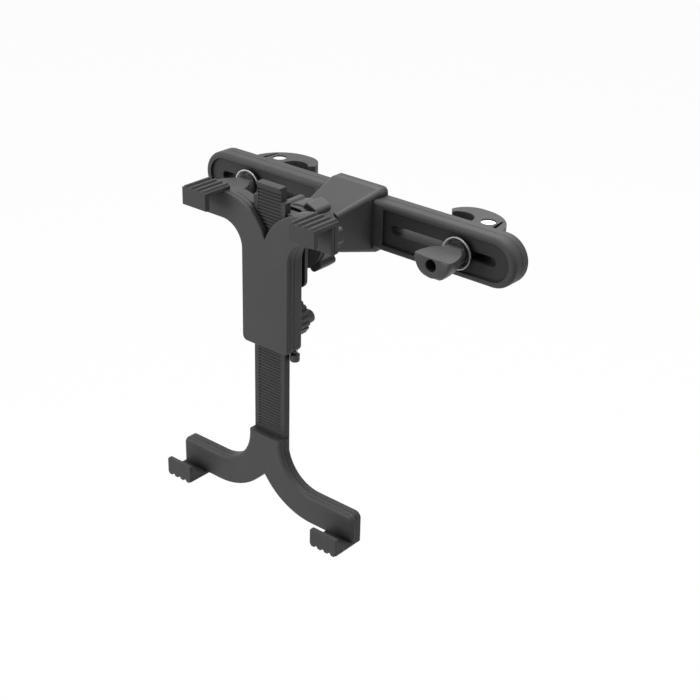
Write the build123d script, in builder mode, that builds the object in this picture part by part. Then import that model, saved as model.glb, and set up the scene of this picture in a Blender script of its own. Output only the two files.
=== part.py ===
"""Headrest tablet mount: a bar with two post clamps, a ball-jointed arm and a stretching tablet holder.

Millimetres, +Z up. X runs along the bar, and the tablet faces -Y. The origin is the centre of
the rear face of the bar. A "depth" is a distance in front of that face, so it lies at Y = -depth.
"""

import math
import os

from build123d import *

SIDES = (("right", 1), ("left", -1))

# Fits shared by the whole part
slide_fit = 0.15
shaft_fit = 0.05
touch_gap = 0.1
rest_gap = 0.3
seam_round = 0.4
seam_groove = 0.4

# Bar
bar_length = 240.0
bar_height = 30.2
bar_depth = 13.8
bar_split_depth = bar_depth - 7.6
bar_front_round = 2.4
bar_rear_round = 1.0
recess_depth = 1.7
recess_rim = 3.6
recess_end_rim = 4.3
slot_height = 5.8

# Tapered centre arm
collar_width = 39.0
collar_height = bar_height + 10.0
collar_corner = 3.5
cover_plate = 2.0
cover_depth = cover_plate + 2.3
collar_depth = cover_depth + 3.7
arm_depth = bar_depth + 26.2
nose_width = 27.0
nose_height = 24.0
nose_corner = 2.5
nose_round = 1.2
arm_hollow_width = nose_width - 3.0
arm_hollow_height = nose_height - 4.0
arm_hollow_nose = 17.0
arm_hollow_depth = arm_depth - 11.0

# Recesses and slots that run from the arm to the ends of the bar
recess_inner_x = collar_width / 2 + 7.0
recess_outer_x = bar_length / 2 - recess_end_rim
recess_half_height = bar_height / 2 - recess_rim
recess_floor_depth = bar_depth - recess_depth
slot_inner_x = recess_inner_x + 5.2
slot_outer_x = bar_length / 2 - 13.9
slot_middle_x = (slot_inner_x + slot_outer_x) / 2
slot_length = slot_outer_x - slot_inner_x

# Ball joint
ball_depth = arm_depth + 13.0
ball_radius = 8.5
liner_wall = 1.65
liner_radius = ball_radius + liner_wall
liner_mouth = 4.0
liner_back_hole = 3.0
socket_radius = liner_radius + 4.25
socket_tip_radius = socket_radius - 2.0
socket_taper_depth = ball_depth + 1.0
socket_end_depth = ball_depth + 3.6
socket_spigot_radius = 7.0
socket_slit = 1.6
socket_slit_depth = ball_depth - 6.0
ring_start_depth = arm_depth + 3.5
ring_lip_depth = socket_end_depth + 0.4
ring_end_depth = ring_lip_depth + 2.0
ring_radius = socket_radius + 5.1
ring_lobe_radius = ring_radius + 2.7
ring_lobe_width = 10.0
ring_lobes = 6
ring_lobe_angle = 8
ring_round = 1.0
ring_mouth_radius = 9.8
neck_radius = 4.5
stud_cone_depth = ball_depth + 9.0
stud_flange_radius = 8.0
stud_flange_start_depth = stud_cone_depth + 4.2
stud_flange = 2.2
stud_tail_radius = 4.0
stud_disc_radius = 7.2
stud_disc = 1.2
stud_screw_head_radius = 4.2
stud_screw_head = 2.1
stud_screw_radius = 2.0
stud_screw_reach = 9.0

# Plate that carries the ball on the holder
plate_depth = stud_flange_start_depth + stud_flange + touch_gap
plate = 3.0
plate_back_depth = plate_depth + plate
plate_width = 33.6
plate_height = 48.0
plate_corner = 5.0
pedestal = 3.0
pedestal_width = plate_width - 5.6
pedestal_height = plate_height - 5.0
plate_screw_x = pedestal_width / 2 - 3.0
plate_screw_z = pedestal_height / 2 - 4.0

# Depths of the holder's layers, with the rail running in a channel between them
holder_back_depth = plate_back_depth + pedestal
channel_back_depth = holder_back_depth + 3.7
rail = 4.25
rail_back_depth = channel_back_depth + rest_gap
rail_front_depth = rail_back_depth + rail
channel_front_depth = rail_front_depth + rest_gap
holder_split_depth = rail_front_depth - 1.15
holder_groove_depth = holder_split_depth + 3.6
holder_front_depth = holder_groove_depth + 2.0

# Tablet holder, front and back halves
stem_half_width = 17.8
stem_bottom_z = -61.2
stem_corner = 3.5
arm_bottom_z = 11.2
arm_top_z = arm_bottom_z + 16.2
arm_fillet = 15.0
arm_end_x = 49.7
notch_z = arm_bottom_z - 4.3
notch_arc_end_x = arm_end_x - 19.7
holder_front_round = 0.9
holder_back_round = 1.2
back_top_z = arm_bottom_z + 12.8
back_arm_x = stem_half_width + 9.2
holder_screw_x = stem_half_width - 2.7
holder_screw_z = (arm_bottom_z + 2.8, stem_bottom_z + 39.2)

# Jaw covers at the top
jaw_width = 18.3
jaw_inner_x = arm_end_x - jaw_width
jaw_lip = 3.2
jaw_front_depth = holder_front_depth + 11.3 + jaw_lip
jaw_web_z = arm_top_z + 2.2
jaw_lip_bottom_z = jaw_web_z - 10.7
jaw_ribs = 4
jaw_rib_height = 1.3
jaw_tongue_width = 9.0
jaw_tongue_height = 7.0
jaw_tongue = 2.6

# Sliding rail
rail_half_width = 12.0
rail_clear_width = 2 * (rail_half_width + slide_fit)
rail_top_z = arm_top_z + 2.6
rail_tip_half_width = rail_half_width - 3.0
rail_tip_z = rail_top_z + 8.3
rail_tip_rim = 1.3
rail_rim_height = 1.4
tooth_pitch = 2.0
tooth_depth = 0.7
tooth_half_width = rail_tip_half_width - 0.3
tooth_top_z = rail_tip_z - 4.3

# Lower cradle, an inverted Y
cradle_back_depth = rail_back_depth + 1.6
cradle_split_depth = rail_front_depth + 1.35
cradle_front_depth = cradle_split_depth + 3.9
cradle_top_z = stem_bottom_z - 58.6
cradle_half_width = rail_half_width + 1.0
cradle_arm_top_z = cradle_top_z - 27.7
cradle_fillet = 25.0
cradle_end_x = arm_end_x + 20.3
cradle_end_round = 4.0
cradle_bottom_z = cradle_arm_top_z - 17.9
cradle_notch_z = cradle_bottom_z + 19.9
cradle_notch_end_x = cradle_end_x - 32.0
cradle_front_round = 2.6
cradle_screw_x = cradle_end_x - 25.0
cradle_screw_z = cradle_bottom_z + 8.9
cradle_stem_screw_z = cradle_notch_z + 9.5
rail_bottom_z = cradle_top_z - 14.2
tooth_bottom_z = cradle_top_z + 1.8

# Hooks at the bottom
hook_width = 20.2
hook_inner_x = cradle_end_x - hook_width
hook_lip = 2.5
hook_lip_corner = 1.6
hook_front_depth = cradle_front_depth + 12.0 + hook_lip
hook_floor_z = cradle_bottom_z - 1.9
hook_lip_top_z = hook_floor_z + 10.8
hook_ribs = 4
hook_rib_height = 0.9

# Lock knob on the back of the holder
lock_z = stem_bottom_z + 12.2
lock_boss_radius = 9.5
lock_boss_depth = holder_back_depth - 3.5
lock_seat_depth = lock_boss_depth - touch_gap
lock_flange_radius = 9.0
lock_disc_depth = lock_seat_depth - 2.5
lock_disc_radius = 12.0
lock_disc_end_depth = lock_disc_depth - 7.9
lock_flutes = 20
lock_flute_radius = 0.8
lock_grip_length = 22.0
lock_grip_height = 8.0
lock_grip_end_depth = lock_disc_end_depth - 5.0
lock_screw_radius = 2.5
insert_radius = 4.0
insert_length = 5.0
pad_radius = 4.5
pad_thickness = 1.3

# Release button under the holder, with its spring and the pawl that it moves
button_x = stem_half_width - 2.8
button_depth = holder_back_depth + 2.9
button_radius = 2.9
button_head = 4.6
button_stem_radius = 0.9
button_travel = 2.0
spring_radius = 1.5
spring_wire = 0.25
spring_pitch = 1.9
spring_room = 12.0
pawl_floor = 2.0
pawl_tip_x = rail_half_width + 0.45
pawl_back_x = button_x + 0.9
pawl_thickness = 2.7
pawl_height = 7.5
pawl_slope = 2.0
pawl_foot = 0.4
pawl_travel = 1.0

# Post clamps
clamp_x = slot_outer_x - 24.6
cup_seat_depth = recess_floor_depth + touch_gap
cup_seat_radius = 7.4
cup_rim_radius = 9.9
cup_rim_depth = cup_seat_depth + 3.9
cup_rim = 0.7
cup_floor_depth = cup_seat_depth + 1.8
cup_floor_radius = 6.9
knob_start_depth = cup_floor_depth + touch_gap
knob_end_depth = cup_seat_depth + 27.8
knob_root_radius = 6.6
knob_waist_radius = 7.8
knob_waist_depth = cup_rim_depth + 0.6
knob_wing_half_width = 12.9
knob_belly_radius = 9.7
knob_wing_depth = knob_waist_depth + 13.0
knob_nose_radius = 8.7
knob_flat_z = 4.3
knob_bevel = 1.1
bolt_radius = 2.5
bolt_head_radius = 3.6
bolt_head = 3.0
bolt_head_depth = knob_end_depth - 10.0
bush_length = 9.8
claw_height = 21.2
claw_foot_gap = 0.3
claw_heel_lift = 1.8
claw_heel_x = 6.5
claw_toe_x = 14.9
mouth_radius = 9.0
mouth_offset_x = -17.0
mouth_y = 9.3
mouth_end_angle = 150.0
claw_tip = (-27.9, 17.4)
claw_crown = (-12.0, 29.3)
claw_shoulder = (13.9, 10.1)
claw_tip_bulge = (-22.9, 25.9)
claw_back_bulge = (3.7, 24.9)
claw_slit = ((5.7, 20.4), (7.0, 19.8), (9.6, 7.5), (10.4, 3.2), (6.6, 3.2), (6.6, 9.7))
pin_radius = 4.5
pin_y = 14.7
pin_recess = 0.5
bolt_tip_y = pin_y + 5.0
bolt_slot_end_y = bolt_tip_y + 2.0
bolt_slot_width = 9.2
bolt_slot_height = 5.8

# Screws
screw_radius = 1.25
screw_head_radius = 2.5
screw_head = 1.5
bar_screw_x = (recess_inner_x - 2.9, bar_length / 2 - 8.6)
bar_screw_tip = bar_split_depth + 4.2
cover_screw_x = collar_width / 2 - 5.5
cover_screw_z = (bar_height + collar_height) / 4
cover_screw_tip = cover_depth + 7.7
socket_screw_head_radius = 9.0
socket_screw_head = 2.2
socket_screw_radius = 2.0
socket_screw_tip = arm_depth + 1.4

os.makedirs("parts", exist_ok=True)


def front(depth):
    """Plane parallel to the bar's face at a depth; extruding goes further to the front."""
    return Plane.XZ.offset(depth)


def save(builder, label):
    """Label a finished piece and write it as its own file."""
    builder.part.label = label
    export_step(builder.part, f"parts/{label}.step")


def disc_row(spots, depth, radius):
    """Equal circles on one plane, one at each (x, z) spot."""
    with BuildSketch(front(depth)) as discs:
        with Locations(*spots):
            Circle(radius)
    return discs.sketch


def screw_row(spots, head_depth, tip_depth, head_radius):
    """Pan-headed screws that point to the front, one at each spot, added to the current part."""
    extrude(disc_row(spots, head_depth, head_radius), amount=screw_head)
    shank_depth = head_depth + screw_head
    extrude(disc_row(spots, shank_depth, screw_radius), amount=tip_depth - shank_depth)


def screw_holes(spots, start_depth, end_depth, head_radius=0.0):
    """Holes for the same screws, with a counterbore at the start when a head radius is given."""
    bores = disc_row(spots, start_depth, screw_radius)
    extrude(bores, amount=end_depth - start_depth, mode=Mode.SUBTRACT)
    if head_radius:
        recesses = disc_row(spots, start_depth, head_radius)
        extrude(recesses, amount=screw_head, mode=Mode.SUBTRACT)


bar_screw_spots = [(sign * x, 0.0) for x in bar_screw_x for sign in (1, -1)]
cover_screw_spots = [(i * cover_screw_x, j * cover_screw_z) for i in (1, -1) for j in (1, -1)]
plate_screw_spots = [(i * plate_screw_x, j * plate_screw_z) for i in (1, -1) for j in (1, -1)]
holder_screw_spots = [(i * holder_screw_x, z) for i in (1, -1) for z in holder_screw_z]
cradle_screw_spots = [(i * cradle_screw_x, cradle_screw_z) for i in (1, -1)] + [(0.0, cradle_stem_screw_z)]

# Bar, front shell: long recesses on both sides of the arm, each with a slot
with BuildPart() as bar_front_shell:
    with BuildSketch(front(bar_split_depth)):
        SlotOverall(bar_length, bar_height)
    extrude(amount=bar_depth - bar_split_depth)
    fillet(bar_front_shell.faces().sort_by(Axis.Y)[0].edges(), bar_front_round)
    fillet(bar_front_shell.faces().sort_by(Axis.Y)[-1].edges(), seam_round)
    for side, sign in SIDES:
        with BuildSketch(front(recess_floor_depth)):
            with BuildLine():
                end_x = recess_outer_x - recess_half_height
                Polyline(
                    (sign * end_x, recess_half_height),
                    (sign * recess_inner_x, recess_half_height),
                    (sign * recess_inner_x, -recess_half_height),
                    (sign * end_x, -recess_half_height),
                )
                ThreePointArc(
                    (sign * end_x, -recess_half_height),
                    (sign * recess_outer_x, 0),
                    (sign * end_x, recess_half_height),
                )
            make_face()
        extrude(amount=recess_depth, mode=Mode.SUBTRACT)
    with BuildSketch(front(0)):
        with Locations((slot_middle_x, 0), (-slot_middle_x, 0)):
            SlotOverall(slot_length, slot_height)
    extrude(amount=bar_depth, mode=Mode.SUBTRACT)
    screw_holes(bar_screw_spots, bar_split_depth, bar_screw_tip)
save(bar_front_shell, "bar_front_shell")

# Bar, rear shell: the same outline and slots, with a step for the arm's cover
with BuildPart() as bar_rear_shell:
    with BuildSketch(front(0)):
        SlotOverall(bar_length, bar_height)
    extrude(amount=bar_split_depth)
    fillet(bar_rear_shell.faces().sort_by(Axis.Y)[-1].edges(), bar_rear_round)
    fillet(bar_rear_shell.faces().sort_by(Axis.Y)[0].edges(), seam_round)
    with BuildSketch(front(0)):
        with Locations((slot_middle_x, 0), (-slot_middle_x, 0)):
            SlotOverall(slot_length, slot_height)
    extrude(amount=bar_split_depth, mode=Mode.SUBTRACT)
    with BuildSketch(front(0)):
        Rectangle(collar_width + 2 * slide_fit, 2 * bar_height)
    extrude(amount=cover_plate, mode=Mode.SUBTRACT)
    screw_holes(bar_screw_spots, 0, bar_split_depth, screw_head_radius)
save(bar_rear_shell, "bar_rear_shell")

with BuildPart() as bar_screws:
    screw_row(bar_screw_spots, 0, bar_screw_tip, screw_head_radius)
save(bar_screws, "bar_screws")

# Tapered arm: a square collar round the bar that narrows to a nose for the ball socket
with BuildPart() as arm_housing:
    with BuildSketch(front(cover_depth)):
        RectangleRounded(collar_width, collar_height, collar_corner)
    extrude(amount=collar_depth - cover_depth)
    with BuildSketch(front(collar_depth)):
        RectangleRounded(collar_width, collar_height, collar_corner)
    with BuildSketch(front(arm_depth)):
        RectangleRounded(nose_width, nose_height, nose_corner)
    loft()
    fillet(arm_housing.faces().sort_by(Axis.Y)[0].edges(), nose_round)
    with BuildSketch(front(0)):
        Rectangle(2 * collar_width, bar_height)
    extrude(amount=bar_depth, mode=Mode.SUBTRACT)
    with BuildSketch(front(bar_depth)):
        Rectangle(arm_hollow_width, arm_hollow_height)
    with BuildSketch(front(arm_hollow_depth)):
        Rectangle(arm_hollow_nose + 2, arm_hollow_nose + 2)
    loft(mode=Mode.SUBTRACT)
    with BuildSketch(front(arm_hollow_depth)):
        Circle(socket_spigot_radius)
    extrude(amount=arm_depth, mode=Mode.SUBTRACT)
    screw_holes(cover_screw_spots, cover_depth, cover_screw_tip)
save(arm_housing, "arm_housing")

# Cover that closes the collar behind the bar
with BuildPart() as housing_cover:
    with BuildSketch(front(0)):
        RectangleRounded(collar_width, collar_height, collar_corner)
    extrude(amount=cover_depth)
    fillet(housing_cover.faces().sort_by(Axis.Y)[-1].edges(), bar_rear_round)
    with BuildSketch(front(cover_plate)):
        Rectangle(2 * collar_width, bar_height)
    extrude(amount=cover_depth, mode=Mode.SUBTRACT)
    screw_holes(cover_screw_spots, 0, cover_depth, screw_head_radius)
save(housing_cover, "housing_cover")

with BuildPart() as cover_screws:
    screw_row(cover_screw_spots, 0, cover_screw_tip, screw_head_radius)
save(cover_screws, "cover_screws")

# Ball socket: a split cup on a spigot in the nose
with BuildPart() as socket_cup:
    with BuildSketch(Plane.XY):
        with BuildLine():
            Polyline(
                (0, -arm_hollow_depth),
                (socket_spigot_radius, -arm_hollow_depth),
                (socket_spigot_radius, -arm_depth),
                (socket_radius, -arm_depth),
                (socket_radius, -socket_taper_depth),
                (socket_tip_radius, -socket_end_depth),
                (0, -socket_end_depth),
                (0, -arm_hollow_depth),
            )
        make_face()
    revolve(axis=Axis.Y)
    with Locations((0, -ball_depth, 0)):
        Sphere(liner_radius + shaft_fit, mode=Mode.SUBTRACT)
    with BuildSketch(front(arm_hollow_depth)):
        Circle(socket_screw_radius)
    extrude(amount=ball_depth - arm_hollow_depth, mode=Mode.SUBTRACT)
    with BuildSketch(front(socket_slit_depth)):
        Rectangle(3 * socket_radius, socket_slit)
        Rectangle(socket_slit, 3 * socket_radius)
    extrude(amount=socket_end_depth, mode=Mode.SUBTRACT)
save(socket_cup, "socket_cup")

with BuildPart() as socket_screw:
    with BuildSketch(front(arm_hollow_depth - socket_screw_head)):
        Circle(socket_screw_head_radius)
    extrude(amount=socket_screw_head)
    with BuildSketch(front(arm_hollow_depth)):
        Circle(socket_screw_radius)
    extrude(amount=socket_screw_tip - arm_hollow_depth)
save(socket_screw, "socket_screw")

# Locking ring: a lobed nut that closes the cup on the ball
with BuildPart() as locking_ring:
    with BuildSketch(front(ring_start_depth)):
        Circle(ring_radius)
        lobe_height = ring_lobe_radius / 3
        with PolarLocations(ring_lobe_radius - lobe_height / 2, ring_lobes, ring_lobe_angle):
            RectangleRounded(lobe_height, ring_lobe_width, ring_lobe_width / 4)
    extrude(amount=ring_lip_depth - ring_start_depth)
    fillet(locking_ring.faces().sort_by(Axis.Y)[0].edges(), ring_round)
    fillet(locking_ring.faces().sort_by(Axis.Y)[-1].edges(), ring_round)
    with BuildSketch(front(ring_lip_depth)):
        Circle(ring_radius - ring_round)
    extrude(amount=ring_end_depth - ring_lip_depth)
    with BuildSketch(front(ring_start_depth)):
        Circle(socket_radius + shaft_fit)
    extrude(amount=ring_lip_depth - ring_start_depth, mode=Mode.SUBTRACT)
    with BuildSketch(front(ring_start_depth)):
        Circle(ring_mouth_radius)
    extrude(amount=ring_end_depth - ring_start_depth, mode=Mode.SUBTRACT)
save(locking_ring, "locking_ring")

# Liner: a thin spherical bearing shell between cup and ball
with BuildPart() as ball_liner:
    with Locations((0, -ball_depth, 0)):
        Sphere(liner_radius)
        Sphere(ball_radius + shaft_fit, mode=Mode.SUBTRACT)
    with BuildSketch(front(ball_depth + liner_mouth)):
        Circle(2 * liner_radius)
    extrude(amount=liner_radius, mode=Mode.SUBTRACT)
    with BuildSketch(front(ball_depth - 2 * liner_radius)):
        Circle(liner_back_hole)
    extrude(amount=2 * liner_radius, mode=Mode.SUBTRACT)
save(ball_liner, "ball_liner")

# Ball stud: ball, neck, thrust flange and the tail that the holder turns on
flange_back_depth = plate_depth - touch_gap
tail_end_depth = holder_back_depth + touch_gap
with BuildPart() as ball_stud:
    with Locations((0, -ball_depth, 0)):
        Sphere(ball_radius)
    with BuildSketch(Plane.XY):
        with BuildLine():
            Polyline(
                (0, -ball_depth),
                (neck_radius, -ball_depth),
                (neck_radius, -stud_cone_depth),
                (stud_flange_radius, -stud_flange_start_depth),
                (stud_flange_radius, -flange_back_depth),
                (stud_tail_radius, -flange_back_depth),
                (stud_tail_radius, -tail_end_depth),
                (0, -tail_end_depth),
                (0, -ball_depth),
            )
        make_face()
    revolve(axis=Axis.Y)
    with BuildSketch(front(tail_end_depth - stud_screw_reach)):
        Circle(stud_screw_radius)
    extrude(amount=stud_screw_reach, mode=Mode.SUBTRACT)
save(ball_stud, "ball_stud")

with BuildPart() as stud_washer:
    with BuildSketch(front(tail_end_depth)):
        Circle(stud_disc_radius)
        Circle(stud_screw_radius, mode=Mode.SUBTRACT)
    extrude(amount=stud_disc)
save(stud_washer, "stud_washer")

with BuildPart() as stud_screw:
    with BuildSketch(front(tail_end_depth - stud_screw_reach)):
        Circle(stud_screw_radius)
    extrude(amount=stud_screw_reach + stud_disc)
    with BuildSketch(front(tail_end_depth + stud_disc)):
        Circle(stud_screw_head_radius)
    extrude(amount=stud_screw_head)
save(stud_screw, "stud_screw")

# Plate on the holder's back that turns on the ball stud
plate_screw_tip = channel_back_depth - touch_gap
with BuildPart() as ball_plate:
    with BuildSketch(front(plate_depth)):
        RectangleRounded(plate_width, plate_height, plate_corner)
    extrude(amount=plate)
    fillet(ball_plate.faces().sort_by(Axis.Y)[-1].edges(), plate / 3)
    with BuildSketch(front(plate_back_depth)):
        RectangleRounded(pedestal_width, pedestal_height, plate_corner)
    extrude(amount=holder_back_depth - plate_back_depth)
    with BuildSketch(front(plate_depth)):
        Circle(stud_tail_radius + shaft_fit)
    extrude(amount=holder_back_depth - plate_depth, mode=Mode.SUBTRACT)
    screw_holes(plate_screw_spots, plate_depth, holder_back_depth, screw_head_radius)
save(ball_plate, "ball_plate")

with BuildPart() as plate_screws:
    screw_row(plate_screw_spots, plate_depth, plate_screw_tip, screw_head_radius)
save(plate_screws, "plate_screws")


def holder_outline():
    """Y-shaped face of the holder: a stem and two arms with a rounded V between them."""
    with BuildSketch(Plane.XY) as outline:
        with BuildLine():
            Polyline(
                (0, notch_z),
                (0, stem_bottom_z),
                (stem_half_width, stem_bottom_z),
                (stem_half_width, arm_bottom_z),
                (arm_end_x, arm_bottom_z),
                (arm_end_x, arm_top_z),
                (notch_arc_end_x, arm_top_z),
            )
            TangentArc((notch_arc_end_x, arm_top_z), (0, notch_z), tangent=(-1, 0))
        make_face()
        mirror(about=Plane.YZ)
        feet = outline.vertices().group_by(Axis.Y)[0].sort_by(Axis.X)
        fillet([feet[0], feet[-1]], stem_corner)
        shoulders = [v for v in outline.vertices() if abs(v.Y - arm_bottom_z) < shaft_fit]
        shoulders.sort(key=lambda vertex: vertex.X)
        fillet(shoulders[1:3], arm_fillet)
    return outline.sketch


y_outline = holder_outline()

# Front half of the holder, with the channel for the rail in its back
with BuildPart() as upper_bracket:
    with BuildSketch(front(holder_split_depth)):
        add(y_outline)
    extrude(amount=holder_front_depth - holder_split_depth)
    fillet(upper_bracket.faces().sort_by(Axis.Y)[0].edges(), holder_front_round)
    fillet(upper_bracket.faces().sort_by(Axis.Y)[-1].edges(), seam_round)
    with BuildSketch(front(holder_groove_depth - seam_groove)):
        add(y_outline)
        offset(y_outline, amount=-seam_groove, mode=Mode.SUBTRACT)
    extrude(amount=seam_groove, mode=Mode.SUBTRACT)
    with BuildSketch(front(holder_split_depth)):
        with Locations((0, stem_bottom_z + bar_length / 2)):
            Rectangle(rail_clear_width, bar_length + 1)
    extrude(amount=channel_front_depth - holder_split_depth, mode=Mode.SUBTRACT)
    for side, sign in SIDES:
        with BuildSketch(front(holder_split_depth)):
            with Locations((sign * (jaw_inner_x + arm_end_x) / 2, arm_top_z - jaw_tongue_height / 2)):
                Rectangle(jaw_tongue_width, jaw_tongue_height)
        extrude(amount=jaw_tongue, mode=Mode.SUBTRACT)
    screw_holes(holder_screw_spots, holder_split_depth, holder_front_depth - screw_head)
save(upper_bracket, "upper_bracket")

# Jaw covers: ribbed on top, a tongue in the arm and a lip that holds the tablet's edge
for side, sign in SIDES:
    with BuildPart() as jaw_cap:
        middle_x = sign * (jaw_inner_x + arm_end_x) / 2
        width = arm_end_x - jaw_inner_x
        with BuildSketch(front(holder_split_depth)):
            with Locations((middle_x, (arm_top_z + jaw_web_z) / 2)):
                Rectangle(width, jaw_web_z - arm_top_z)
        extrude(amount=jaw_front_depth - holder_split_depth)
        with BuildSketch(front(jaw_front_depth - jaw_lip)):
            with Locations((middle_x, (jaw_lip_bottom_z + jaw_web_z) / 2)):
                Rectangle(width, jaw_web_z - jaw_lip_bottom_z)
        extrude(amount=jaw_lip)
        fillet(jaw_cap.faces().sort_by(Axis.Y)[0].edges().group_by(Axis.Z)[0], jaw_lip / 4)
        rib_pitch = width / jaw_ribs
        with BuildSketch(front(holder_split_depth)):
            for index in range(jaw_ribs):
                with Locations((middle_x + (index - (jaw_ribs - 1) / 2) * rib_pitch, jaw_web_z)):
                    Trapezoid(rib_pitch * 0.84, 2 * jaw_rib_height, 62, align=(Align.CENTER, Align.CENTER))
        extrude(amount=jaw_front_depth - holder_split_depth)
        with BuildSketch(front(holder_split_depth)):
            with Locations((middle_x, arm_top_z - jaw_tongue_height / 2)):
                Rectangle(jaw_tongue_width, jaw_tongue_height)
        extrude(amount=jaw_tongue)
    save(jaw_cap, f"jaw_cap_{side}")

# Back half of the holder: rail channel, lock boss, button bore and the room behind the ball plate
spring_room_radius = spring_radius + spring_wire + slide_fit
spring_room_top_z = stem_bottom_z + spring_room
pawl_z = spring_room_top_z + pawl_floor + slide_fit
pawl_room_x = pawl_back_x + pawl_travel + slide_fit
with BuildPart() as back_housing:
    with BuildSketch(front(holder_back_depth)):
        add(y_outline)
        Rectangle(2 * back_arm_x, 4 * bar_height + back_top_z * 2, mode=Mode.INTERSECT)
        with Locations((0, (back_top_z + stem_bottom_z + 2 * stem_corner) / 2)):
            Rectangle(2 * stem_half_width, back_top_z - stem_bottom_z - 2 * stem_corner)
    extrude(amount=holder_split_depth - holder_back_depth)
    fillet(back_housing.faces().sort_by(Axis.Y)[-1].edges(), holder_back_round)
    fillet(back_housing.faces().sort_by(Axis.Y)[0].edges(), seam_round)
    with BuildSketch(front(lock_boss_depth)):
        with Locations((0, lock_z)):
            Circle(lock_boss_radius)
    extrude(amount=holder_back_depth - lock_boss_depth)
    with BuildSketch(front(channel_back_depth)):
        Rectangle(rail_clear_width, 2 * bar_length)
    extrude(amount=holder_split_depth - channel_back_depth, mode=Mode.SUBTRACT)
    with BuildSketch(front(holder_back_depth)):
        Circle(stud_disc_radius + rest_gap)
    extrude(amount=channel_back_depth - holder_back_depth, mode=Mode.SUBTRACT)
    screw_holes(plate_screw_spots, holder_back_depth, plate_screw_tip)
    screw_holes(holder_screw_spots, holder_back_depth, holder_split_depth, screw_head_radius)
    with BuildSketch(front(lock_boss_depth)):
        with Locations((0, lock_z)):
            Circle(lock_screw_radius + shaft_fit)
    extrude(amount=channel_back_depth - lock_boss_depth, mode=Mode.SUBTRACT)
    with BuildSketch(front(lock_boss_depth)):
        with Locations((0, lock_z)):
            Circle(insert_radius)
    extrude(amount=insert_length, mode=Mode.SUBTRACT)
    with BuildSketch(front(channel_back_depth - pad_thickness)):
        with Locations((0, lock_z)):
            Circle(pad_radius)
    extrude(amount=pad_thickness, mode=Mode.SUBTRACT)
    for bottom_z, top_z, radius in (
        (stem_bottom_z, spring_room_top_z, spring_room_radius),
        (spring_room_top_z, pawl_z, button_stem_radius + slide_fit),
    ):
        with BuildSketch(Plane.XY.offset(bottom_z)):
            with Locations((button_x, -button_depth)):
                Circle(radius)
        extrude(amount=top_z - bottom_z, mode=Mode.SUBTRACT)
    with BuildSketch(front(button_depth - pawl_thickness / 2 - slide_fit)):
        with Locations((pawl_room_x / 2, pawl_z + pawl_height / 2)):
            Rectangle(pawl_room_x, pawl_height + 2 * slide_fit)
    extrude(amount=pawl_thickness + 2 * slide_fit, mode=Mode.SUBTRACT)
save(back_housing, "back_housing")

with BuildPart() as holder_screws:
    screw_row(holder_screw_spots, holder_back_depth, holder_front_depth - screw_head, screw_head_radius)
save(holder_screws, "holder_screws")

# Lock: threaded insert and brake pad in the holder, knob and screw outside
with BuildPart() as lock_insert:
    with BuildSketch(front(lock_boss_depth)):
        with Locations((0, lock_z)):
            Circle(insert_radius)
            Circle(lock_screw_radius + shaft_fit, mode=Mode.SUBTRACT)
    extrude(amount=insert_length)
save(lock_insert, "lock_insert")

with BuildPart() as brake_pad:
    with BuildSketch(front(channel_back_depth - pad_thickness)):
        with Locations((0, lock_z)):
            Circle(pad_radius)
    extrude(amount=pad_thickness)
save(brake_pad, "brake_pad")

lock_screw_tip = channel_back_depth - pad_thickness - touch_gap
with BuildPart() as lock_knob:
    for start, end, radius in (
        (lock_seat_depth, lock_disc_depth, lock_flange_radius),
        (lock_disc_depth, lock_disc_end_depth, lock_disc_radius),
    ):
        with BuildSketch(front(start)):
            with Locations((0, lock_z)):
                Circle(radius)
        extrude(amount=end - start)
    with BuildSketch(front(lock_disc_depth)):
        with Locations((0, lock_z)):
            with PolarLocations(lock_disc_radius, lock_flutes):
                Circle(lock_flute_radius)
    extrude(amount=lock_disc_end_depth - lock_disc_depth, mode=Mode.SUBTRACT)
    with BuildSketch(front(lock_disc_end_depth)):
        with Locations((0, lock_z)):
            SlotOverall(lock_grip_length, lock_grip_height)
    extrude(amount=lock_grip_end_depth - lock_disc_end_depth)
    with BuildSketch(front(lock_seat_depth)):
        with Locations((0, lock_z)):
            Circle(lock_screw_radius)
    extrude(amount=lock_disc_end_depth - lock_seat_depth, mode=Mode.SUBTRACT)
save(lock_knob, "lock_knob")

with BuildPart() as lock_screw:
    with BuildSketch(front(lock_disc_end_depth)):
        with Locations((0, lock_z)):
            Circle(lock_screw_radius)
    extrude(amount=lock_screw_tip - lock_disc_end_depth)
save(lock_screw, "lock_screw")

# Release button: its stem ends in a cone that slides along the slope of the pawl
button_top_z = stem_bottom_z - button_travel - rest_gap
slope_rise = pawl_slope * (pawl_back_x - button_x - pawl_foot)
stem_tip_z = pawl_z + slope_rise - rest_gap * math.hypot(1, pawl_slope)
with BuildPart() as release_button:
    with BuildSketch(Plane.XY.offset(button_top_z - button_head)):
        with Locations((button_x, -button_depth)):
            Circle(button_radius)
    extrude(amount=button_head)
    fillet(release_button.faces().sort_by(Axis.Z)[0].edges(), button_radius / 3)
    with BuildSketch(Plane.XZ.offset(button_depth)):
        with BuildLine():
            Polyline(
                (button_x, button_top_z),
                (button_x + button_stem_radius, button_top_z),
                (button_x + button_stem_radius, stem_tip_z - pawl_slope * button_stem_radius),
                (button_x, stem_tip_z),
                (button_x, button_top_z),
            )
        make_face()
    revolve(axis=Axis((button_x, -button_depth, 0), (0, 0, 1)))
save(release_button, "release_button")

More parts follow.
